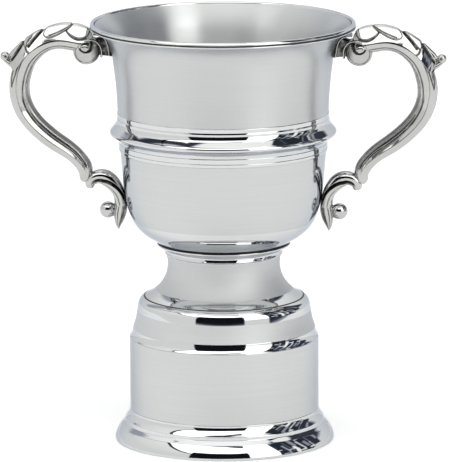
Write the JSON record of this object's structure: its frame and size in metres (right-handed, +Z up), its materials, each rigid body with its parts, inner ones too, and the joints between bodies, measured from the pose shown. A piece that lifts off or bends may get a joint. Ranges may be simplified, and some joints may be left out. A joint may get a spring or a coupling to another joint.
{
  "type": "loving cup trophy",
  "caption": "Loving-cup trophy with a flared bowl, moulded girdle, scroll handles and a hollow stepped plinth; stands as an award or holds a drink.",
  "frame": {"origin": "centre of the underside of the foot, on the surface it stands on", "axes": "+Z up the axis of the cup, +X along the line through the two handles, -Y towards a viewer who sees both handles in profile"},
  "size_m": [0.1894, 0.1128, 0.18],
  "materials": {
    "satin_pewter": "satin, fine brushing round the axis",
    "polished_pewter": "mirror polished",
    "cast_pewter": "polished casting with darkened recesses",
    "plated_steel": "zinc plated",
    "green_baize": "short woollen nap"
  },
  "bodies": {
    "root": {"cup_bowl": "satin_pewter", "rim_wire": "polished_pewter", "girdle_band": "polished_pewter", "stem_collar": "polished_pewter", "stem": "satin_pewter", "shoulder": "polished_pewter", "plinth_band": "satin_pewter", "foot_moulding": "polished_pewter", "bowl_boss": "satin_pewter", "tie_stud": "plated_steel", "pressure_plate": "plated_steel", "stud_washer": "plated_steel", "stud_nut": "plated_steel", "closing_disc": "satin_pewter", "baize_pad": "green_baize", "handle_rail_left": "cast_pewter", "handle_rail_right": "cast_pewter", "handle_volute_left": "cast_pewter", "handle_volute_right": "cast_pewter", "handle_socket_left": "cast_pewter", "handle_socket_right": "cast_pewter", "acanthus_leaf_left": "cast_pewter", "acanthus_leaf_right": "cast_pewter", "leaf_curl_left": "cast_pewter", "leaf_curl_right": "cast_pewter", "lower_scroll_left": "cast_pewter", "lower_scroll_right": "cast_pewter", "tail_leaf_left": "cast_pewter", "tail_leaf_right": "cast_pewter", "lower_ball_left": "cast_pewter", "lower_ball_right": "cast_pewter"}
  },
  "joints": []
}
